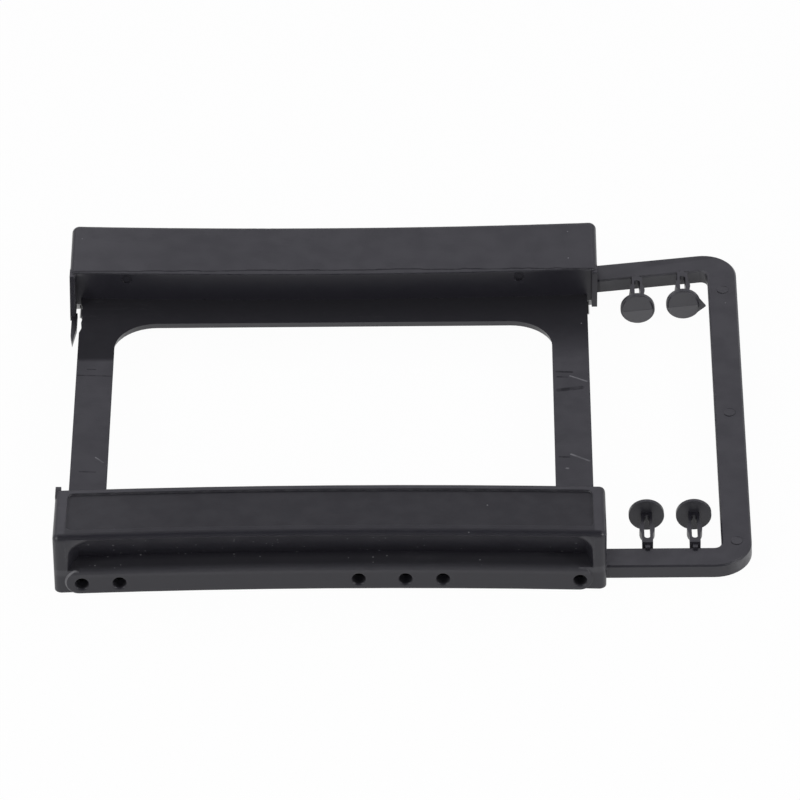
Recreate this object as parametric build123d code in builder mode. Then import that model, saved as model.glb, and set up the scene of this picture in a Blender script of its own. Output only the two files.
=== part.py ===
"""Bracket that holds a 2.5-inch drive in a 3.5-inch bay, moulded in one shot with its runner and rivets."""

import os
from math import atan, cos, degrees, radians, sin, tan

from build123d import *

# Sizes are in millimetres. X runs along the rails towards the runner, Y across the bay and Z up.
# The origin is the middle of the bay at the height of the rails' feet.

# Rails: two hollow bars, open below, that both bend a little inward at mid length
rail_length = 103.0
rail_height = 13.0
top_fall = 0.8
bay_width = 101.6
drive_width = 70.0
rail_bow = 1.15
wall = 1.6
corner_radius = 1.4
inner_corner_radius = 0.6
top_edge_radius = 1.2
foot_slope_reach = 4.8

# Groove along each rail's outer side, whose wall slopes in from the rounded top to a ledge
groove_depth = 4.4
groove_floor = 5.0
groove_top = 12.3
groove_end = 2.4
groove_back_radius = 1.5
ledge_radius = 1.2
ledge_flats = 4
flange_wall = 2.3

# Raised screw pad below the groove, with the bay's screw holes in pairs at two standard pitches
pad_proud = 0.4
pad_left = 2.2
pad_right = 2.6
pad_root = 1.6
hole_diameter = 2.4
hole_chamfer = 0.25
hole_height = 2.1
long_pitch = 60.33
short_pitch = 41.28
long_pair_starts = [5.2, 12.2]
short_pair_end = 4.92

# Shallow panel in the front rail's top
panel_depth = 0.35
panel_inner_margin = 1.2
panel_outer_margin = 2.4
panel_end_margin = 2.4
panel_radius = 1.2

# Dimples in the rails' inner walls, beside the drive's side holes
dimple_diameter = 1.9
dimple_depth = 0.5
dimple_below_top = 1.4
dimple_left = 11.1
dimple_pitch = 76.6

# Base plate between the rails
plate_length = 99.0
plate_bottom = 4.7
plate_thickness = 1.4
window_length = 84.8
window_width = 52.5
window_radius = 8.0
window_draft = 18.0

# End stops, thin tabs at the rails' ends that reach inward from the inner walls, at the top and at the foot
stop_thickness = 1.07
stop_below_top = 0.3
stop_below_plate = 1.0
rear_left_reach = (1.0, 4.2)
rear_right_reach = (0.9, 0.9)
front_left_reach = (1.6, 1.6)

# Torn edge at the rear of the plate's left side, and the strip that hangs on the rear left stop
tear_length = 11.5
tear_depth = 0.55
tear_shape = [0.3, 0.7, 0.4, 1.0, 0.55, 0.9]
sliver_length = 8.9
sliver_width = 1.1
sliver_inset = 0.3
sliver_thickness = 1.0
sliver_taper = 5.0

# Runner: a flat bar in a U on the right end, twisted so that its rear corner stands higher
runner_reach = 27.4
runner_width = 5.65
runner_thickness = 2.75
runner_bottom = 0.85
runner_inset = 2.2
runner_bend_radius = 4.4
runner_edge_chamfer = 0.3
runner_rise_angle = 6.4
pin_mark_diameter = 2.3
pin_mark_depth = 0.15
pin_mark_spacing = 38.5
pin_mark_shift = -2.3

# Push-in rivets: two barbed legs and a round head, measured along the axis from the runner's edge
gate_width = 0.9
gate_length = 0.6
gate_overlap = 0.6
rivet_length = 10.6
leg_width = 2.05
leg_thickness = 1.6
barb_width = 2.9
barb_start = 3.2
barb_end = 6.6
head_diameter = 6.7
head_thickness = 0.9
head_draft = 0.15
slot_width = 1.1
slot_start = 1.9
slot_length = 6.9
rivet_first = 7.85
rivet_spacing = 8.9
flash_reach = 1.1
flash_thickness = 0.3

# Worked out from the sizes above
rail_end = rail_length / 2
rail_inner = drive_width / 2
rail_outer = bay_width / 2 - pad_proud
groove_back = rail_outer - groove_depth
inner_height = rail_height - top_fall
bend_radius = (rail_end**2 + rail_bow**2) / (2 * rail_bow)
runner_top = runner_bottom + runner_thickness
runner_y = rail_outer - runner_inset - runner_width / 2
runner_x = rail_end + runner_reach - runner_width / 2
runner_rise = tan(radians(runner_rise_angle)) * (runner_x - rail_end)
beyond = bay_width


def bent_strip(near, far, half_length, level=0.0, near_radius=0.0, far_radius=0.0):
    """Plan of a strip of the front rail that bends with it, between two distances from the bay's middle."""
    with BuildSketch(Plane.XY.offset(level)) as strip:
        with BuildLine():
            near_edge = ThreePointArc((-rail_end, -near), (0, rail_bow - near), (rail_end, -near))
            far_edge = ThreePointArc((-rail_end, -far), (0, rail_bow - far), (rail_end, -far))
            Line(near_edge @ 0, far_edge @ 0)
            Line(near_edge @ 1, far_edge @ 1)
        make_face()
        Rectangle(2 * half_length, 2 * beyond, mode=Mode.INTERSECT)
        if far_radius:
            fillet(strip.vertices().group_by(Axis.Y)[0], far_radius)
        if near_radius:
            fillet(strip.vertices().sort_by(Axis.Y)[-2:], near_radius)
    return strip.sketch


def bent_bar(section, left, right):
    """Bar between two places along the front rail, with a section that follows the rail's bend."""
    with BuildPart() as bar:
        with BuildSketch(Plane.YZ):
            with Locations((rail_bow - rail_outer, 0)):
                add(section)
        revolve(axis=Axis((0, rail_bow - rail_outer - bend_radius, 0), (0, 0, 1)))
        with BuildSketch(Plane.XZ):
            with Locations(((left + right) / 2, 0)):
                Rectangle(right - left, 2 * rail_height)
        extrude(amount=beyond, mode=Mode.INTERSECT)
    return bar.part


# Sections in these bars: the first number is the depth inside the rail's outer side, the second the height
groove_slope = (groove_top - groove_floor) / groove_depth
with BuildSketch() as groove_section:
    with BuildLine():
        Polyline(
            (groove_depth, groove_floor),
            (-groove_depth, groove_floor + 2 * groove_depth * groove_slope),
            (-groove_depth, groove_floor),
            close=True,
        )
    make_face()
groove_half = rail_end - groove_end
with BuildPart() as groove:
    add(bent_bar(groove_section.sketch, -groove_half, groove_half))
    extrude(
        bent_strip(groove_back, rail_outer + groove_depth, groove_half, groove_floor, groove_back_radius),
        amount=rail_height,
        mode=Mode.INTERSECT,
    )

# Screw pad with rounded ends, and the step in the rail that makes room for its rounded upper edge
pad_first = pad_left - rail_end
pad_last = rail_end - pad_right
ledge_points = []
for index in range(ledge_flats + 1):
    turn = radians(90 * index / ledge_flats)
    ledge_depth = ledge_radius * (1 - cos(turn)) - pad_proud
    ledge_points.append((ledge_depth, groove_floor - ledge_radius * (1 - sin(turn))))
with BuildSketch() as pad_section:
    with BuildLine():
        Polyline((pad_root, 0), (-pad_proud, 0), *ledge_points, (pad_root, groove_floor), close=True)
    make_face()
with BuildPart() as pad:
    add(bent_bar(pad_section.sketch, pad_first, pad_last))
    with BuildSketch(Plane.XZ):
        with Locations(((pad_first + pad_last) / 2, groove_floor / 2)):
            SlotOverall(pad_last - pad_first, groove_floor)
    extrude(amount=beyond, mode=Mode.INTERSECT)

with BuildSketch() as step_section:
    with Locations((0, groove_floor - ledge_radius)):
        Rectangle(2 * ledge_radius, 2 * ledge_radius, align=(Align.CENTER, Align.MIN))
step = bent_bar(step_section.sketch, pad_first + groove_floor / 2, pad_last - groove_floor / 2)

# Hollow, which leaves the same wall behind the groove's slope as elsewhere
groove_wall = wall / sin(atan(groove_slope))
hollow_top = inner_height - wall
hollow_far = rail_outer - rail_inner - wall
with BuildSketch() as hollow_section:
    with BuildLine():
        Polyline(
            (hollow_far, 0),
            (hollow_far, hollow_top),
            ((groove_top - hollow_top) / groove_slope + groove_wall, hollow_top),
            (groove_depth + groove_wall, groove_floor),
            (groove_depth + groove_wall, 0),
            close=True,
        )
    make_face()
hollow = bent_bar(hollow_section.sketch, wall - rail_end, rail_end - wall)

# One rail, on the front side of the bay
last_hole = rail_end - short_pair_end
hole_columns = [last_hole - short_pitch, last_hole]
for start in long_pair_starts:
    hole_columns += [start - rail_end, start - rail_end + long_pitch]
hole_places = [(x, hole_height) for x in hole_columns]
dimple_height = inner_height - dimple_below_top
dimple_places = []
for x in (dimple_left, dimple_left + dimple_pitch):
    dimple_places.append((x - rail_end, dimple_height))

with BuildPart() as rail:
    extrude(bent_strip(rail_inner, rail_outer, rail_end, far_radius=corner_radius), amount=rail_height)
    with BuildSketch(Plane.YZ.offset(-rail_end)):
        with BuildLine():
            Polyline(
                (-rail_outer, rail_height),
                (-rail_inner, inner_height),
                (0, inner_height - top_fall * rail_inner / (rail_outer - rail_inner)),
                (0, rail_height),
                close=True,
            )
        make_face()
    extrude(amount=rail_length, mode=Mode.SUBTRACT)
    rim = rail.faces().sort_by(Axis.Z)[-1].edges().sort_by(Axis.Y)[:-1]
    fillet(rim, top_edge_radius)
    extrude(
        bent_strip(rail_inner, rail_outer, rail_end, 0, inner_corner_radius, corner_radius),
        amount=rail_height,
        mode=Mode.INTERSECT,
    )
    add(groove.part, mode=Mode.SUBTRACT)
    add(step, mode=Mode.SUBTRACT)

    # Hollow behind the groove, and the wider space below its floor
    add(hollow, mode=Mode.SUBTRACT)
    extrude(
        bent_strip(rail_inner + wall, rail_outer - flange_wall, groove_half),
        amount=groove_floor - wall,
        mode=Mode.SUBTRACT,
    )

    # The inner wall stops at the plate, and the end walls slope down from there to the feet
    with BuildSketch(Plane.YZ.offset(-rail_end)):
        with BuildLine():
            Polyline(
                (-rail_inner - foot_slope_reach, 0),
                (-rail_inner, plate_bottom),
                (0, plate_bottom),
                (0, 0),
                close=True,
            )
        make_face()
    extrude(amount=rail_length, mode=Mode.SUBTRACT)

    add(pad.part)
    with BuildSketch(Plane.XZ):
        with Locations(*hole_places):
            Circle(hole_diameter / 2)
    extrude(amount=beyond, mode=Mode.SUBTRACT)
    pierced = rail.faces().filter_by(lambda face: len(face.inner_wires()) > 0)
    mouths = pierced.sort_by(Axis.Y)[0].inner_wires()
    chamfer([edge for mouth in mouths for edge in mouth.edges()], hole_chamfer)
    with BuildSketch(Plane.XZ):
        with Locations(*dimple_places):
            Circle(dimple_diameter / 2)
    extrude(amount=rail_inner + dimple_depth - rail_bow / 2, mode=Mode.SUBTRACT)

# Base plate, whose long edges run inside the rails' inner walls
plate_edge = rail_inner + wall / 2
plate_end = plate_length / 2
tear_points = [(-plate_end, rail_inner), (-plate_end, rail_inner - tear_length)]
for index, share in enumerate(tear_shape, start=1):
    tear_y = rail_inner - tear_length * index / (len(tear_shape) + 1)
    tear_points.insert(index, (-plate_end + tear_depth * share, tear_y))

with BuildPart() as base_plate:
    with BuildSketch(Plane.XY.offset(plate_bottom)):
        with BuildLine():
            front_edge = ThreePointArc(
                (-rail_end, -plate_edge), (0, rail_bow - plate_edge), (rail_end, -plate_edge)
            )
            rear_edge = ThreePointArc(
                (-rail_end, plate_edge), (0, plate_edge - rail_bow), (rail_end, plate_edge)
            )
            Line(front_edge @ 0, rear_edge @ 0)
            Line(front_edge @ 1, rear_edge @ 1)
        make_face()
        Rectangle(plate_length, beyond, mode=Mode.INTERSECT)
        with BuildLine():
            Polyline(*tear_points, close=True)
        make_face(mode=Mode.SUBTRACT)
    extrude(amount=plate_thickness)
    with BuildSketch(Plane.XY.offset(plate_bottom + plate_thickness)):
        RectangleRounded(window_length, window_width, window_radius)
    extrude(amount=-plate_thickness, taper=-window_draft, mode=Mode.SUBTRACT)


def end_stop(end, side, reach):
    """Tab at one end of a rail: end is 1 on the right and -1 on the left, side is 1 at the rear."""
    top_reach, foot_reach = reach
    top = inner_height - stop_below_top
    foot = plate_bottom - stop_below_plate
    with BuildPart() as stop:
        with BuildSketch(Plane.YZ.offset(end * rail_end)):
            with BuildLine():
                Polyline(
                    (side * (rail_inner + wall), top),
                    (side * (rail_inner - top_reach), top),
                    (side * (rail_inner - foot_reach), plate_bottom),
                    (side * (rail_inner - foot_reach), foot),
                    (side * (rail_inner + wall), foot),
                    close=True,
                )
            make_face()
        extrude(amount=-end * stop_thickness)
    return stop.part


# Torn strip of the plate's edge, pointed at its free end
sliver_root = rail_inner - rear_left_reach[1] + stop_thickness
sliver_left = sliver_inset - rail_end
sliver_right = sliver_left + sliver_width
sliver_tip = sliver_root - stop_thickness - sliver_length
with BuildPart() as sliver:
    with BuildSketch(Plane.XY.offset(plate_bottom - stop_below_plate)):
        with BuildLine():
            Polyline(
                (sliver_left, sliver_root),
                (sliver_left, sliver_tip + sliver_taper / 2),
                (sliver_left + sliver_width / 3, sliver_tip),
                (sliver_right, sliver_tip + sliver_taper),
                (sliver_right, sliver_root),
                close=True,
            )
        make_face()
    extrude(amount=sliver_thickness)

# Runner along its bent centre line
with BuildPart() as runner:
    with BuildLine() as runner_line:
        runner_middle = runner_bottom + runner_thickness / 2
        FilletPolyline(
            (rail_end - wall / 2, -runner_y, runner_middle),
            (runner_x, -runner_y, runner_middle),
            (runner_x, runner_y, runner_middle + runner_rise),
            (rail_end - wall / 2, runner_y, runner_middle),
            radius=runner_bend_radius,
        )
    with BuildSketch(Plane(runner_line.line @ 0, x_dir=(0, 1, 0), z_dir=(1, 0, 0))) as runner_section:
        Rectangle(runner_width, runner_thickness)
        chamfer(runner_section.vertices().group_by(Axis.Y)[-1], runner_edge_chamfer)
    sweep()
    for step in (-1, 0, 1):
        mark_y = pin_mark_shift + step * pin_mark_spacing
        mark_top = runner_top + runner_rise * (mark_y + runner_y) / (2 * runner_y)
        with BuildSketch(Plane.XY.offset(mark_top - pin_mark_depth)):
            with Locations((runner_x, mark_y)):
                Circle(pin_mark_diameter / 2)
        extrude(amount=runner_thickness, mode=Mode.SUBTRACT)

# One rivet, with its axis along Y from the gate at the origin to the head
head_under = rivet_length - head_thickness
head_radius = head_diameter / 2
barb_middle = (barb_start + barb_end) / 2
with BuildPart() as rivet:
    with BuildSketch(Plane.XY.offset(-leg_thickness / 2)):
        with BuildLine():
            Line((0, gate_length), (leg_width / 2, gate_length))
            Line((leg_width / 2, gate_length), (leg_width / 2, barb_start))
            ThreePointArc(
                (leg_width / 2, barb_start), (barb_width / 2, barb_middle), (leg_width / 2, barb_end)
            )
            Line((leg_width / 2, barb_end), (leg_width / 2, head_under))
            Line((leg_width / 2, head_under), (0, head_under))
            mirror(about=Plane.YZ)
        make_face()
        with Locations((0, slot_start + slot_length / 2)):
            SlotOverall(slot_length, slot_width, rotation=90, mode=Mode.SUBTRACT)
    extrude(amount=leg_thickness)
    with Locations((0, gate_length / 2)):
        Box(gate_width, gate_length + 2 * gate_overlap, gate_width)
    with BuildSketch(Plane.XZ.offset(-head_under)):
        Circle(head_radius)
    extrude(amount=-head_thickness)

    # The head's face falls away a little above and below the line where the mould parts
    with BuildSketch(Plane.YZ.offset(-head_diameter)):
        with BuildLine():
            Polyline(
                (rivet_length, 0),
                (rivet_length - head_draft, head_radius),
                (-head_diameter, head_radius),
                (-head_diameter, -head_radius),
                (rivet_length - head_draft, -head_radius),
                close=True,
            )
        make_face()
    extrude(amount=2 * head_diameter, mode=Mode.INTERSECT)

# Flash that stands out of one head along that line
with BuildPart() as flash:
    with BuildSketch(Plane.XY.offset(-flash_thickness / 2)):
        with BuildLine():
            Polyline(
                (-head_radius - flash_reach, head_under + head_thickness / 2),
                (-head_radius / 2, rivet_length - head_draft),
                (-head_radius / 2, head_under),
                close=True,
            )
        make_face()
    extrude(amount=flash_thickness)

# The whole moulding
rivet_offsets = [rivet_first, rivet_first + rivet_spacing]
rivet_y = runner_y - runner_width / 2
front_rivets = [Location((rail_end + x, -rivet_y, runner_top)) for x in rivet_offsets]
rear_rivets = []
for x in rivet_offsets:
    height = runner_top + x * tan(radians(runner_rise_angle))
    rear_rivets.append(Location((rail_end + x, rivet_y, height), (0, runner_rise_angle, 180)))

panel_plan = bent_strip(
    rail_inner + panel_inner_margin,
    rail_outer - panel_outer_margin,
    rail_end - panel_end_margin,
    rail_height - panel_depth,
    panel_radius,
    panel_radius,
)
with BuildPart() as panel:
    extrude(panel_plan, amount=rail_height)
top_slope = degrees(atan(top_fall / (rail_outer - rail_inner)))
top_edge = Axis((0, -rail_outer, rail_height), (1, 0, 0))

with BuildPart() as adapter_bracket:
    add(rail.part)
    mirror(about=Plane.XZ)
    add(panel.part.rotate(top_edge, -top_slope), mode=Mode.SUBTRACT)
    add(base_plate.part)
    add(end_stop(-1, 1, rear_left_reach))
    add(end_stop(1, 1, rear_right_reach))
    add(end_stop(-1, -1, front_left_reach))
    add(sliver.part)
    add(runner.part)
    with Locations(*front_rivets, *rear_rivets):
        add(rivet.part)
    with Locations(rear_rivets[-1]):
        add(flash.part)

os.makedirs("parts", exist_ok=True)
adapter_bracket.part.label = "adapter_bracket"
export_step(adapter_bracket.part, "parts/adapter_bracket.step")
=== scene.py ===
from math import cos, radians, sin, sqrt, tan

import bmesh
import bpy
from mathutils import Matrix, Vector


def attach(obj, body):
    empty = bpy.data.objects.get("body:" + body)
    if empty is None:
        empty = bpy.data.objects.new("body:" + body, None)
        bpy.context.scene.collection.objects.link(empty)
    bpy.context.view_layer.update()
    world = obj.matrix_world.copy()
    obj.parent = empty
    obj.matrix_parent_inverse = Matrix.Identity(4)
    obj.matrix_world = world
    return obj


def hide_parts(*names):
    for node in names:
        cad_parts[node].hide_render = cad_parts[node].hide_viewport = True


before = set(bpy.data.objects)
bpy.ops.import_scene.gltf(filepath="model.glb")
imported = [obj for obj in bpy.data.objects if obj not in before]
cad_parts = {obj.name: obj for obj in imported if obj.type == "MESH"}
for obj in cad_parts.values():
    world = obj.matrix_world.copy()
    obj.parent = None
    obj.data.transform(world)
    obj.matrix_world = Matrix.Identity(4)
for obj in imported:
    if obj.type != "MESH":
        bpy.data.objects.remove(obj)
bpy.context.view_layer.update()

scene = bpy.context.scene
scene.view_settings.view_transform = "Standard"
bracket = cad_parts["adapter_bracket"]
mm = 0.001

# Sizes of the part that the finish and the added pieces follow
rail_end = 51.5 * mm
rail_inner = 35.0 * mm
rail_outer = 50.4 * mm
rail_bow = 1.15 * mm
rail_height = 13.0 * mm
top_fall = 0.8 * mm
top_slope = top_fall / (rail_outer - rail_inner)
top_edge_radius = 1.2 * mm
inner_edge_height = rail_height - top_fall
hollow_inner = 36.4 * mm
hollow_outer = 48.6 * mm
hollow_end = 50.2 * mm
groove_depth = 4.4 * mm
groove_floor = 5.0 * mm
groove_top = 12.3 * mm
groove_end = 2.4 * mm
panel_depth = 0.35 * mm
pad_start = 2.2 * mm
hole_top = 3.35 * mm
plate_top = 6.1 * mm
runner_top = 3.6 * mm
runner_y = 45.375 * mm
runner_rise_angle = radians(6.4)
rivet_length = 10.6 * mm
rivet_y = 42.55 * mm
rivet_offsets = (7.85 * mm, 16.75 * mm)
head_radius = 3.35 * mm

# Camera, from the photograph's perspective: the image is 800 pixels square, and the frame's origin
# lies at origin_pixel
image_pixels = 800
focal_pixels = 7098.4
sensor_width = 36.0
camera_elevation = radians(36.709)
camera_turn = radians(-0.521)
camera_roll = radians(0.749)
camera_distance = 1.3645
origin_pixel = (332.835, 428.5)

level_forward = Vector((sin(camera_turn), cos(camera_turn), 0))
forward = level_forward * cos(camera_elevation) - Vector((0, 0, sin(camera_elevation)))
level_right = Vector((cos(camera_turn), -sin(camera_turn), 0))
level_up = level_right.cross(forward)
right = level_right * cos(camera_roll) - level_up * sin(camera_roll)
up = level_right * sin(camera_roll) + level_up * cos(camera_roll)
metres_per_pixel = camera_distance / focal_pixels
side_step = (image_pixels / 2 - origin_pixel[0]) * metres_per_pixel
up_step = (origin_pixel[1] - image_pixels / 2) * metres_per_pixel
camera_place = right * side_step + up * up_step - forward * camera_distance

camera_data = bpy.data.cameras.new("camera")
camera_data.sensor_fit = "HORIZONTAL"
camera_data.sensor_width = sensor_width
camera_data.lens = focal_pixels * sensor_width / image_pixels
camera = bpy.data.objects.new("camera", camera_data)
camera.matrix_world = Matrix(
    (
        (right.x, up.x, -forward.x, camera_place.x),
        (right.y, up.y, -forward.y, camera_place.y),
        (right.z, up.z, -forward.z, camera_place.z),
        (0, 0, 0, 1),
    )
)
scene.collection.objects.link(camera)
scene.camera = camera


class Nodes:
    """Short way to add shader nodes to one tree."""

    def __init__(self, tree):
        self.tree = tree
        tree.nodes.clear()

    def add(self, kind, inputs=None, **settings):
        node = self.tree.nodes.new("ShaderNode" + kind)
        for name, value in settings.items():
            setattr(node, name, value)
        for key, value in (inputs or {}).items():
            if isinstance(value, bpy.types.NodeSocket):
                self.tree.links.new(value, node.inputs[key])
            else:
                node.inputs[key].default_value = value
        return node

    def math(self, operation, *values, clamp=False):
        return self.add("Math", dict(enumerate(values)), operation=operation, use_clamp=clamp).outputs[0]

    def vector(self, operation, output, first, second):
        return self.add("VectorMath", {0: first, 1: second}, operation=operation).outputs[output]

    def split(self, vector):
        return self.add("SeparateXYZ", {0: vector}).outputs

    def size(self, value):
        return self.math("ABSOLUTE", value)

    def off(self, value, centre):
        """How far value is from centre, either way."""
        return self.size(self.math("SUBTRACT", value, centre))

    def product(self, first, *others):
        for other in others:
            first = self.math("MULTIPLY", first, other)
        return first

    def largest(self, first, *others):
        for other in others:
            first = self.math("MAXIMUM", first, other)
        return first

    def weighted(self, base, shares):
        """Base plus each mask times its amount; shares are pairs of mask and amount."""
        for mask, amount in shares:
            base = self.math("MULTIPLY_ADD", mask, amount, base)
        return base

    def mix(self, share, first, second):
        inputs = {0: share, 6: first, 7: second}
        return self.add("Mix", inputs, data_type="RGBA", clamp_factor=True).outputs[2]

    def ramp(self, value, low, high, to_low=0.0, to_high=1.0):
        """Value from low to high, brought smoothly to to_low and to_high; low may be the greater one."""
        limits = {"Value": value, "From Min": low, "From Max": high, "To Min": to_low, "To Max": to_high}
        return self.add("MapRange", limits, interpolation_type="SMOOTHSTEP").outputs["Result"]

    def noise(self, place, scale, detail=3.0, roughness=0.55):
        inputs = {"Vector": place, "Scale": scale, "Detail": detail, "Roughness": roughness}
        return self.add("TexNoise", inputs).outputs["Fac"]


white = (1, 1, 1, 1)

# World: a tent that is bright in a band around the object, and dark overhead and on the camera's side
tent_colour = (0.97, 0.955, 1.04, 1)
opening_elevation = radians(38)
opening = (0, -cos(opening_elevation), sin(opening_elevation))
room = bpy.data.worlds.new("room")
scene.world = room
room.use_nodes = True
tree = Nodes(room.node_tree)
direction = tree.add("TexCoord").outputs["Generated"]
toward_opening = tree.vector("DOT_PRODUCT", "Value", direction, opening)
upward = tree.split(direction)["Z"]
camera_side_level = tree.ramp(toward_opening, 0.45, 0.85, 1.0, 0.08)
band_level = tree.ramp(upward, 0.36, 0.60, 0.5, 1.3)
overhead_level = tree.ramp(upward, 0.64, 0.88, 1.0, 0.12)
tent_level = tree.product(camera_side_level, band_level, overhead_level)
tent = tree.add("Background", {"Color": tent_colour, "Strength": tent_level})
backdrop = tree.add("Background", {"Color": white, "Strength": 1.0})
seen = tree.add("LightPath").outputs["Is Camera Ray"]
sky = tree.add("MixShader", {0: seen, 1: tent.outputs[0], 2: backdrop.outputs[0]})
tree.add("OutputWorld", {"Surface": sky.outputs[0]})

# Floor that looks white to the camera and in reflections, still takes a faint shadow,
# and is dark where the hollow rails close over it
floor_half = 2.0
floor_colour = (0.88, 0.88, 0.88, 1)
glow_share = 0.97
floor_corners = [(x * floor_half, y * floor_half, 0) for x, y in ((-1, -1), (1, -1), (1, 1), (-1, 1))]
floor_mesh = bpy.data.meshes.new("floor")
floor_mesh.from_pydata(floor_corners, [], [(0, 1, 2, 3)])
floor = bpy.data.objects.new("floor", floor_mesh)
scene.collection.objects.link(floor)
floor_material = bpy.data.materials.new("floor_white")
floor_material.use_nodes = True
tree = Nodes(floor_material.node_tree)
path = tree.add("LightPath").outputs
seen = tree.largest(path["Is Camera Ray"], path["Is Glossy Ray"], path["Is Transmission Ray"])
spot = tree.split(tree.add("TexCoord").outputs["Object"])
aside = tree.size(spot["Y"])
under_rails = tree.product(
    tree.ramp(aside, hollow_inner, hollow_inner + 0.6 * mm),
    tree.ramp(aside, hollow_outer, hollow_outer - 0.4 * mm),
    tree.ramp(tree.size(spot["X"]), hollow_end, hollow_end - 0.4 * mm),
)
open_floor = tree.math("SUBTRACT", 1.0, under_rails)
paper = tree.add("BsdfDiffuse", {"Color": floor_colour})
glow = tree.add("Emission", {"Color": white, "Strength": open_floor})
share = tree.math("MULTIPLY", seen, glow_share)
mixed = tree.add("MixShader", {0: share, 1: paper.outputs[0], 2: glow.outputs[0]})
tree.add("OutputMaterial", {"Surface": mixed.outputs[0]})
floor_mesh.materials.append(floor_material)


def softbox(name, place, size, power, mirrored=True):
    """Square lamp that faces the object; one that is not mirrored gives no reflection of itself."""
    lamp = bpy.data.lights.new(name, "AREA")
    lamp.shape = "SQUARE"
    lamp.size = size
    lamp.energy = power
    holder = bpy.data.objects.new(name, lamp)
    holder.location = place
    holder.rotation_euler = (-Vector(place)).to_track_quat("-Z", "Y").to_euler()
    holder.visible_glossy = mirrored
    scene.collection.objects.link(holder)


softbox("left_light", place=(-0.9, -0.5, 0.5), size=0.24, power=2.6)
softbox("right_light", place=(0.9, -0.5, 0.5), size=0.24, power=2.6)
softbox("front_fill", place=(0, -1.1, 0.6), size=0.8, power=6.0, mirrored=False)

# Black plastic. Its masks follow the part's sizes, so that each face keeps its own wear and its own painted
# light and shade.
plastic = bpy.data.materials.new("black_plastic")
plastic.use_nodes = True
tree = Nodes(plastic.node_tree)
place = tree.add("TexCoord").outputs["Object"]
along, across, height = tree.split(place)
outward = tree.size(across)
from_middle = tree.size(along)
true_normal = tree.add("NewGeometry").outputs["True Normal"]
normal_parts = tree.split(true_normal)
tilt = normal_parts["Z"]
facing_rear = normal_parts["Y"]
facing_up = tree.ramp(tilt, 0.85, 0.97)

# Depth inside the rails' bent outer sides, and the groove there, whose upward faces get painted light
# towards the open front
bend = tree.math("POWER", tree.math("DIVIDE", along, rail_end), 2.0)
side = tree.math("MULTIPLY_ADD", bend, rail_bow, rail_outer - rail_bow)
depth = tree.math("SUBTRACT", side, outward)
in_groove = tree.product(
    tree.ramp(depth, 0.2 * mm, 1.2 * mm),
    tree.ramp(depth, groove_depth + 0.8 * mm, groove_depth + 0.4 * mm),
    tree.ramp(height, groove_floor - 0.4 * mm, groove_floor - 0.1 * mm),
    tree.ramp(height, groove_top - 0.8 * mm, groove_top - 1.3 * mm),
)
cloud = tree.noise(place, 170.0, 4.0)
# Painted light: the groove's upward faces are paler in cloudy patches, fading towards its back wall
groove_painted_light = tree.product(
    in_groove,
    tree.ramp(depth, groove_depth - 0.1 * mm, groove_depth - 1.8 * mm),
    tree.ramp(tilt, 0.1, 0.8),
    tree.ramp(cloud, 0.25, 0.75, 0.75, 1.0),
)

# Painted highlights along the ledge's rounded edge, and on the rim at the left end of the screw pad below
# it
ledge_highlight = tree.product(
    tree.ramp(depth, 1.3 * mm, 0.3 * mm),
    tree.ramp(height, groove_floor - 1.6 * mm, groove_floor - 0.7 * mm),
    tree.ramp(height, groove_floor + 0.3 * mm, groove_floor + 0.1 * mm),
)
rim_radius = groove_floor / 2
rim_along = tree.math("SUBTRACT", along, pad_start + rim_radius - rail_end)
rim_up = tree.math("SUBTRACT", height, rim_radius)
rim_square = tree.math("ADD", tree.product(rim_along, rim_along), tree.product(rim_up, rim_up))
off_rim = tree.off(tree.math("SQRT", rim_square), rim_radius)
# Painted highlight on the pad's left rim, where a side lamp glints
pad_rim_highlight = tree.product(
    tree.ramp(off_rim, 0.25 * mm, 0.08 * mm),
    tree.ramp(rim_along, 0.0, -1.0 * mm),
    tree.ramp(depth, 0.4 * mm, 0.2 * mm),
)

# The front rail's panel, just under the sloping top, its outer border, the tops' left ends, which get
# painted light, and the plate
top_height = tree.math("MULTIPLY_ADD", outward, top_slope, rail_height - top_slope * rail_outer)
below_top = tree.math("SUBTRACT", top_height, height)
in_panel = tree.product(
    tree.ramp(below_top, panel_depth - 0.15 * mm, panel_depth - 0.05 * mm),
    tree.ramp(below_top, panel_depth + 0.25 * mm, panel_depth + 0.15 * mm),
    tree.ramp(across, 2.0 * mm - rail_inner, 1.0 * mm - rail_inner),
    facing_up,
)
front_land = tree.product(
    tree.ramp(below_top, 0.2 * mm, 0.1 * mm),
    tree.ramp(across, -45.0 * mm, -45.5 * mm),
    tree.ramp(from_middle, rail_end - 2.0 * mm, rail_end - 2.5 * mm),
    facing_up,
)
# Painted light: the tops grow paler towards their left ends
left_end_light = tree.product(
    tree.ramp(along, -25 * mm, -50 * mm),
    tree.ramp(height, inner_edge_height - 0.6 * mm, inner_edge_height - 0.3 * mm),
    facing_up,
)
off_plate = tree.off(height, plate_top)
on_plate = tree.product(
    tree.ramp(off_plate, 0.2 * mm, 0.1 * mm),
    tree.ramp(from_middle, rail_end - 1.5 * mm, rail_end - 1.8 * mm),
    facing_up,
)

# The plate's rear corners are matt and painted darker as the rear rail's shade, with a plain border on the
# left and a gradual one on the right
rail_shade_change = 20 * mm
rail_shade_from = tree.ramp(along, -rail_shade_change, rail_shade_change, 13.7 * mm, 13.0 * mm)
rail_shade_full = tree.ramp(along, -rail_shade_change, rail_shade_change, 15.4 * mm, 27.0 * mm)
# Painted shade of the rear rail, together with a rougher finish
matt_and_rail_shade = tree.product(tree.ramp(across, rail_shade_from, rail_shade_full), on_plate)

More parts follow.
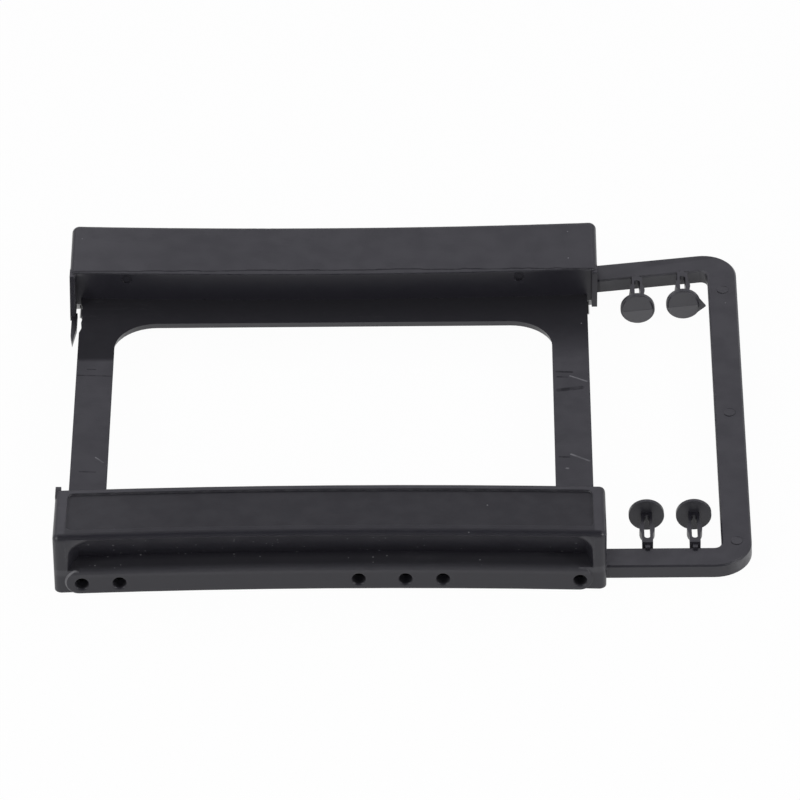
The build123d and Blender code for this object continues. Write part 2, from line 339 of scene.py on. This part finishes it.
# Shallow dimples in the rails' inner walls, painted darker inside as shade
off_wall = tree.off(outward, rail_inner)
by_wall = tree.product(
    tree.ramp(off_wall, rail_bow + 0.45 * mm, rail_bow + 0.15 * mm),
    tree.ramp(height, inner_edge_height - 0.6 * mm, inner_edge_height - 0.8 * mm),
)
behind_wall = tree.ramp(outward, rail_inner + 0.03 * mm, rail_inner + 0.12 * mm)
above_plate = tree.ramp(height, plate_top + 0.5 * mm, plate_top + 0.9 * mm)
shaded_dimple = tree.product(by_wall, behind_wall, above_plate)

# Rough inside of the screw holes and of the rail behind them, painted darker there as shade
rough_shaded_hole = tree.product(
    tree.ramp(depth, -0.1 * mm, 0.1 * mm),
    tree.ramp(depth, 12.0 * mm, 11.0 * mm),
    tree.ramp(height, hole_top + 0.15 * mm, hole_top),
    tree.ramp(from_middle, rail_end - 3.4 * mm, rail_end - 3.7 * mm),
)

# Edges: soft, but sharp along the groove's lip and foot, in the drive's space and on the runner
soft_radius = 0.45 * mm
sharp_radius = 0.05 * mm
runner_radius = 0.12 * mm
at_lip = tree.product(
    tree.ramp(tree.off(height, groove_top), 0.8 * mm, 0.5 * mm),
    tree.ramp(depth, 1.4 * mm, 1.0 * mm),
    tree.ramp(from_middle, rail_end - 1.9 * mm, rail_end - 2.5 * mm),
)
on_runner = tree.ramp(along, rail_end + 0.5 * mm, rail_end + 0.9 * mm)
plate_foot = tree.product(
    tree.ramp(off_plate, 0.9 * mm, 0.6 * mm),
    tree.ramp(outward, rail_inner - 1.8 * mm, rail_inner - 1.4 * mm),
)
groove_foot = tree.product(
    tree.ramp(depth, groove_depth - 2.0 * mm, groove_depth - 1.4 * mm),
    tree.ramp(height, groove_floor + 1.4 * mm, groove_floor + 0.8 * mm),
)
inside_corner = tree.largest(plate_foot, groove_foot, by_wall)
sharp = tree.largest(at_lip, inside_corner)
edge_radius = tree.weighted(
    soft_radius,
    ((sharp, sharp_radius - soft_radius), (on_runner, runner_radius - soft_radius)),
)

# Painted light on the runner, paler towards the rear: a painted highlight on its edges and a painted
# reflection of the floor on its front faces, most where they tilt down; its front-right corner's side faces
# are paler in patches
runner_light = tree.product(on_runner, tree.ramp(across, -20 * mm, 30 * mm, 0.15, 1.0))
runner_edge_highlight = tree.product(runner_light, tree.ramp(tilt, 0.4, 0.6), tree.ramp(tilt, 0.97, 0.9))
runner_corner = tree.product(
    tree.ramp(along, 74 * mm, 77 * mm),
    tree.ramp(across, -40 * mm, -44 * mm),
    tree.ramp(tilt, 0.8, 0.4),
)
# Painted reflection of the bright floor on the runner's front faces
runner_face_reflection = tree.product(
    runner_light,
    tree.ramp(facing_rear, -0.6, -0.9),
    tree.ramp(tilt, 0.02, -0.06, 0.6, 1.0),
)

# Dust specks, thicker in the groove
speck_scale = 850.0
cells = tree.add("TexVoronoi", {"Vector": place, "Scale": speck_scale}).outputs
pick = tree.add("SeparateColor", {0: cells["Color"]}).outputs["Red"]
pick_limit = tree.weighted(0.99, ((in_groove, -0.3),))
picked = tree.math("GREATER_THAN", pick, pick_limit)
specks = tree.product(picked, tree.ramp(cells["Distance"], 0.16, 0.09))

# Thin scratches in patches, and pale edges that are partly rubbed wear and partly painted highlight
scratch_turn = (0, 0, radians(24))
scratch_stretch = (60, 900, 200)
turned = tree.add("Mapping", {0: place, "Rotation": scratch_turn, "Scale": scratch_stretch}).outputs[0]
threads = tree.off(tree.noise(turned, 1.0, 2.0), 0.5)
patches = tree.ramp(tree.noise(place, 55.0, 2.0), 0.52, 0.62)
scratches = tree.product(tree.ramp(threads, 0.012, 0.003), patches, facing_up)
rounded = tree.add("Bevel", {"Radius": edge_radius}, samples=8).outputs["Normal"]
bend_cosine = tree.vector("DOT_PRODUCT", "Value", rounded, true_normal)
patchiness = tree.ramp(tree.noise(place, 600.0), 0.35, 0.65, 0.3, 1.0)
open_edge = tree.math("SUBTRACT", 1.0, inside_corner)
# Rubbed wear and painted highlight on the open edges
rubbed_and_highlit = tree.product(tree.ramp(bend_cosine, 0.98, 0.8), patchiness, open_edge)

# Ragged inner top edge of the rear rail: a painted shadow line on the top and a painted highlight on the
# wall, for the flash there
edge_wander = 0.15 * mm
wander = tree.ramp(tree.noise(place, 220.0), 0.35, 0.65, -edge_wander, edge_wander)
below_edge = tree.math("ADD", tree.math("SUBTRACT", inner_edge_height, height), wander)
past_edge = tree.math("ADD", tree.math("SUBTRACT", outward, rail_inner), wander)
on_rear = tree.ramp(across, 30 * mm, 31 * mm)
edge_painted_highlight = tree.product(
    tree.ramp(below_edge, 0.05 * mm, 0.15 * mm),
    tree.ramp(below_edge, 0.75 * mm, 0.45 * mm),
    tree.ramp(off_wall, 0.15 * mm, 0.05 * mm),
    on_rear,
    patchiness,
)
edge_painted_shadow = tree.product(
    tree.ramp(past_edge, 0.05 * mm, 0.15 * mm),
    tree.ramp(past_edge, 0.5 * mm, 0.35 * mm),
    tree.ramp(height, inner_edge_height - 0.4 * mm, inner_edge_height - 0.2 * mm),
    on_rear,
)


def streak(start, end, width):
    """Thin straight mark on the plate's top between two places, given in millimetres."""
    first = Vector((*start, 0)) * mm
    run = Vector((*end, 0)) * mm - first
    flat = tree.add("CombineXYZ", {"X": along, "Y": across}).outputs[0]
    offset = tree.vector("SUBTRACT", "Vector", flat, first)
    advance = tree.vector("DOT_PRODUCT", "Value", offset, run)
    share = tree.math("DIVIDE", advance, run.length_squared, clamp=True)
    nearest = tree.add("VectorMath", {0: run, "Scale": share}, operation="SCALE").outputs["Vector"]
    distance = tree.vector("DISTANCE", "Value", offset, nearest)
    return tree.product(tree.ramp(distance, width / 2 * mm, width / 5 * mm), on_plate, patchiness)


pale_marks = tree.largest(
    streak((45.7, 8.2), (48.9, 6.4), 0.5),
    streak((45.5, -16.8), (48.9, -18.9), 0.6),
    streak((44.6, -21.2), (44.8, -21.2), 0.7),
    streak((-44.8, -16.7), (-43.3, -18.3), 0.4),
)
# Dark marks on the plate, and the painted shadow along the rear rail's inner top edge
dark_marks_and_edge_shadow = tree.largest(
    streak((43.2, 9.6), (46.1, 9.4), 0.7),
    streak((43.3, 7.9), (45.1, 7.8), 0.6),
    streak((43.4, 3.6), (47.9, 4.4), 1.4),
    streak((43.3, -17.6), (45.1, -17.7), 0.6),
    streak((-49.2, 9.6), (-42.5, 9.2), 0.4),
    streak((-47.4, 11.5), (-45.8, 11.4), 0.4),
    streak((-47.6, -21.1), (-44.8, -21.3), 0.5),
    edge_painted_shadow,
)

# Colour: black, blacker where it is dull and where shade is painted, with dust, wear and painted light over
# it
clean_black = (0.0180, 0.0174, 0.0225, 1)
dull_and_shaded_black = (0.0115, 0.0111, 0.0145, 1)
worn_and_lit_grey = (0.24, 0.24, 0.25, 1)
half_land = tree.math("MULTIPLY", front_land, 0.5)
dulled_and_shaded = tree.largest(in_panel, matt_and_rail_shade, dark_marks_and_edge_shadow, shaded_dimple, rough_shaded_hole, half_land)
# Paleness from dust, scratches and wear, and from painted highlights, reflections and light
paleness = tree.weighted(
    0.0,
    (
        (groove_painted_light, 0.06),
        (ledge_highlight, 0.08),
        (pad_rim_highlight, 0.5),
        (scratches, 0.06),
        (rubbed_and_highlit, 0.14),
        (pale_marks, 0.6),
        (edge_painted_highlight, 0.15),
        (left_end_light, 0.05),
        (runner_edge_highlight, 0.2),
        (runner_face_reflection, 0.25),
        (tree.product(runner_corner, patchiness), 0.2),
        (specks, 0.8),
    ),
)
black = tree.mix(dulled_and_shaded, clean_black, dull_and_shaded_black)
colour = tree.mix(paleness, black, worn_and_lit_grey)

# Gloss, and the fine grain of the mould
grain = tree.noise(place, 4500.0, 2.0)
mottle = tree.noise(place, 260.0, 4.0)
roughness = tree.weighted(
    tree.ramp(mottle, 0.3, 0.7, 0.33, 0.41),
    (
        (in_panel, 0.2),
        (front_land, 0.2),
        (on_plate, 0.05),
        (in_groove, 0.08),
        (groove_painted_light, 0.1),
        (matt_and_rail_shade, 0.5),
        (rough_shaded_hole, 0.4),
        (dark_marks_and_edge_shadow, 0.4),
        (scratches, 0.12),
    ),
)
bump = tree.add("Bump", {"Strength": 0.05, "Distance": 0.05 * mm, "Height": grain, "Normal": rounded})
shell = tree.add(
    "BsdfPrincipled",
    {"Base Color": colour, "Roughness": roughness, "IOR": 1.48, "Normal": bump.outputs["Normal"]},
)
tree.add("OutputMaterial", {"Surface": shell.outputs[0]})
bracket.data.materials.clear()
bracket.data.materials.append(plastic)


def soft_step(share):
    """Smooth change from 0 to 1."""
    share = min(max(share, 0.0), 1.0)
    return share * share * (3 - 2 * share)


def closed_sheet(name, front, back, stride):
    """Piece between a smooth front and a hidden back, each given as rows of points that are stride long."""
    sharp_angle = radians(30)
    work = bmesh.new()
    front_points = [work.verts.new(point) for point in front]
    back_points = [work.verts.new(point) for point in back]
    last_row = len(front) - stride
    for row_start in range(0, last_row, stride):
        for corner in range(row_start, row_start + stride - 1):
            ring = (corner, corner + 1, corner + stride + 1, corner + stride)
            work.faces.new([front_points[index] for index in ring]).smooth = True
            work.faces.new([back_points[index] for index in ring])
    border = list(range(stride - 1))
    border += range(stride - 1, len(front) - 1, stride)
    border += range(len(front) - 1, last_row, -1)
    border += range(last_row, 0, -stride)
    for here, there in zip(border, border[1:] + border[:1]):
        work.faces.new((front_points[here], front_points[there], back_points[there], back_points[here]))
    bmesh.ops.recalc_face_normals(work, faces=work.faces)
    mesh = bpy.data.meshes.new(name)
    work.to_mesh(mesh)
    work.free()
    mesh.set_sharp_from_angle(angle=sharp_angle)
    mesh.materials.append(plastic)
    piece = bpy.data.objects.new(name, mesh)
    scene.collection.objects.link(piece)
    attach(piece, "root")


def groove_blend(name, end, side, floor_reach, top_reach):
    """Soft run-out of a groove into the post at a rail's end, with its back inside the rail.

    end is 1 on the right and -1 on the left, side is 1 at the rear. The reaches are the blend's
    lengths at the groove's floor, which it has over the lower half, and at the lip. Its ends are
    tucked into the rail by a share of the reach, and sunk.
    """
    columns = 24
    rows = 20
    tuck = 0.1
    sunk = 0.25 * mm
    lip_gap = 0.13 * mm
    even_from = 0.5
    round_middle = rail_height - top_edge_radius * (1 + top_slope)
    highest = groove_top - lip_gap
    lowest = groove_floor - sunk
    front = []
    back = []
    for row in range(rows + 1):
        level = lowest + (highest - lowest) * row / rows
        share_down = (groove_top - level) / (groove_top - groove_floor)
        wall_depth = groove_depth * share_down
        rise = max(0.0, level - round_middle)
        skin_depth = top_edge_radius - sqrt(top_edge_radius**2 - rise**2)
        reach = top_reach + (floor_reach - top_reach) * soft_step(share_down / even_from)
        for column in range(columns + 1):
            share = (1 + 2 * tuck) * column / columns - tuck
            x = end * (rail_end - groove_end - share * reach)
            outer = rail_outer - rail_bow * (1 - (x / rail_end) ** 2)
            hidden = max(-share, share - 1, 0.0) * sunk / tuck
            front_depth = skin_depth + (wall_depth - skin_depth) * soft_step(share) + hidden
            front.append((x, side * (outer - front_depth), level))
            back.append((x, side * (outer - wall_depth - 2 * sunk), level))
    closed_sheet(name, front, back, columns + 1)


for side_name, side in (("front", -1), ("rear", 1)):
    groove_blend("groove_blend_" + side_name + "_left", -1, side, floor_reach=2.2 * mm, top_reach=5.5 * mm)
    groove_blend("groove_blend_" + side_name + "_right", 1, side, floor_reach=1.3 * mm, top_reach=3.6 * mm)


def disc(name, placing, radius, face, rise, bevel, thickness):
    """Round piece on the placing's Y axis, in rows that lie closer together towards its rim.

    rise gives the front's height over the face at a share of the radius, from -1 to 1. Between the
    two halves lies a line, line_share wide, where rise may step.
    """
    columns = 16
    rows = 12
    rim_share = 0.99
    line_share = 0.01
    steps = [sin(radians(90) * row / rows) for row in range(rows + 1)]
    shares = [-rim_share * step for step in reversed(steps)]
    shares += [line_share + (rim_share - line_share) * step for step in steps]
    front = []
    back = []
    for share in shares:
        z = radius * share
        half_chord = radius * sqrt(1 - share**2)
        for column in range(columns + 1):
            x = half_chord * (2 * column / columns - 1)
            inward = radius - sqrt(x**2 + z**2)
            full_rise = thickness / 2 + rise(share)
            y = face - thickness / 2 + full_rise * soft_step(inward / bevel)
            front.append(placing @ Vector((x, y, z)))
            back.append(placing @ Vector((x, face - thickness, z)))
    closed_sheet(name, front, back, columns + 1)


# Rivet heads, whose faces fall away above and below the line where the mould parts
cap_radius = head_radius - 0.08 * mm
cap_bevel = 0.15 * mm
cap_thickness = 0.5 * mm
roof_height = 0.35 * mm
parting_step = 0.05 * mm
facing_back = Matrix.Rotation(radians(180), 4, "Z")


def head_rise(share):
    """Low roof over a rivet's head, with the lower half a little proud along the parting line."""
    return roof_height * (1 - abs(share)) + (parting_step if share <= 0 else 0.0)


def rivet_cap(name, placing):
    disc(name, placing, cap_radius, rivet_length, head_rise, cap_bevel, cap_thickness)


for count, offset in enumerate(rivet_offsets, start=1):
    front_place = Matrix.Translation((rail_end + offset, -rivet_y, runner_top))
    rivet_cap(f"rivet_cap_front_{count}", front_place)
    rear_height = runner_top + offset * tan(runner_rise_angle)
    rear_place = Matrix.Translation((rail_end + offset, rivet_y, rear_height))
    cap_place = rear_place @ Matrix.Rotation(-runner_rise_angle, 4, "Y") @ facing_back
    rivet_cap(f"rivet_cap_rear_{count}", cap_place)

# Web of flash that draws the last head out to a point, given by its reach and half height
flash_place = rear_place @ Matrix.Rotation(runner_rise_angle, 4, "Y") @ facing_back
flash_rows = 8
flash_columns = 6
flash_root = Vector((-2.2 * mm, 2.45 * mm))
flash_tip = Vector((-4.42 * mm, 0.06 * mm))
flash_front = rivet_length - 0.25 * mm
flash_back = rivet_length - 0.6 * mm
front = []
back = []
for row in range(flash_rows + 1):
    x, half_height = flash_root.lerp(flash_tip, row / flash_rows)
    for column in range(flash_columns + 1):
        z = half_height * (2 * column / flash_columns - 1)
        front.append(flash_place @ Vector((x, flash_front, z)))
        back.append(flash_place @ Vector((x, flash_back, z)))
closed_sheet("rivet_flash", front, back, flash_columns + 1)

# Pin marks on the runner, each a slug that stands a little proud towards the front
mark_x = 76.075 * mm
mark_places = (-40.8 * mm, -2.3 * mm, 36.2 * mm)
mark_radius = 1.25 * mm
mark_bevel = 0.08 * mm
mark_thickness = 0.4 * mm
mark_tilt = 0.05 * mm
runner_rise = tan(runner_rise_angle) * (mark_x - rail_end)
facing_up_turn = Matrix.Rotation(radians(90), 4, "X")


def mark_rise(share):
    """Tilt of a pin mark, proud at the front."""
    return mark_tilt * (1 + share)


for count, mark_y in enumerate(mark_places, start=1):
    mark_top = runner_top + runner_rise * (mark_y + runner_y) / (2 * runner_y)
    mark_place = Matrix.Translation((mark_x, mark_y, mark_top)) @ facing_up_turn
    disc(f"pin_mark_{count}", mark_place, mark_radius, 0.0, mark_rise, mark_bevel, mark_thickness)

# The plate's window runs on straight behind the front rail, past the solid's rounded front corners,
# so the body that is shown is the solid with the window drawn on to there
window_side = 42.39 * mm
window_start = -10.0 * mm
window_front = -28.5 * mm
window_corner = 1.5 * mm
window_draft = radians(18)
cut_top = plate_top + 0.2 * mm
cut_bottom = 4.5 * mm


def window_outline(level):
    """Corners of the drawn-on window at a level, as it widens downwards."""
    corner_steps = 6
    grow = (plate_top - level) * tan(window_draft)
    side_x = window_side + grow
    radius = window_corner + grow
    middle_x = side_x - radius
    middle_y = window_front + window_corner
    turns = [radians(90) * step / corner_steps for step in range(corner_steps + 1)]
    outline = [(side_x, window_start), (-side_x, window_start)]
    outline += [(-middle_x - radius * cos(turn), middle_y - radius * sin(turn)) for turn in turns]
    outline += [(middle_x + radius * sin(turn), middle_y - radius * cos(turn)) for turn in turns]
    return outline


def window_cutter():
    """Block that is taken out of the plate."""
    work = bmesh.new()
    upper, lower = [
        [work.verts.new((x, y, level)) for x, y in window_outline(level)] for level in (cut_top, cut_bottom)
    ]
    work.faces.new(upper)
    work.faces.new(lower)
    for here in range(len(upper)):
        work.faces.new((upper[here - 1], upper[here], lower[here], lower[here - 1]))
    bmesh.ops.recalc_face_normals(work, faces=work.faces)
    mesh = bpy.data.meshes.new("window_cutter")
    work.to_mesh(mesh)
    work.free()
    cutter = bpy.data.objects.new("window_cutter", mesh)
    scene.collection.objects.link(cutter)
    return cutter


def closed_copy(mesh):
    """Copy of a mesh with its points joined, which keeps the corners' normals as an attribute."""
    copy = mesh.copy()
    normals = [part for corner in mesh.corner_normals for part in corner.vector]
    copy.attributes.new("kept_normal", "FLOAT_VECTOR", "CORNER").data.foreach_set("vector", normals)
    work = bmesh.new()
    work.from_mesh(copy)
    bmesh.ops.remove_doubles(work, verts=work.verts, dist=0.001 * mm)
    work.to_mesh(copy)
    work.free()
    return copy


body = bpy.data.objects.new("bracket_body", closed_copy(bracket.data))
scene.collection.objects.link(body)
cutter = window_cutter()
cut = body.modifiers.new("window", "BOOLEAN")
cut.operation = "DIFFERENCE"
cut.solver = "EXACT"
cut.object = cutter
body_with_cut = body.evaluated_get(bpy.context.evaluated_depsgraph_get())
body_mesh = bpy.data.meshes.new_from_object(body_with_cut)
body.modifiers.clear()
body.data = body_mesh
bpy.data.objects.remove(cutter)
kept_normal = body_mesh.attributes["kept_normal"]
body_mesh.normals_split_custom_set([corner.vector for corner in kept_normal.data])
body_mesh.attributes.remove(body_mesh.attributes["kept_normal"])
body_mesh.materials.clear()
body_mesh.materials.append(plastic)
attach(body, "root")
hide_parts("adapter_bracket")
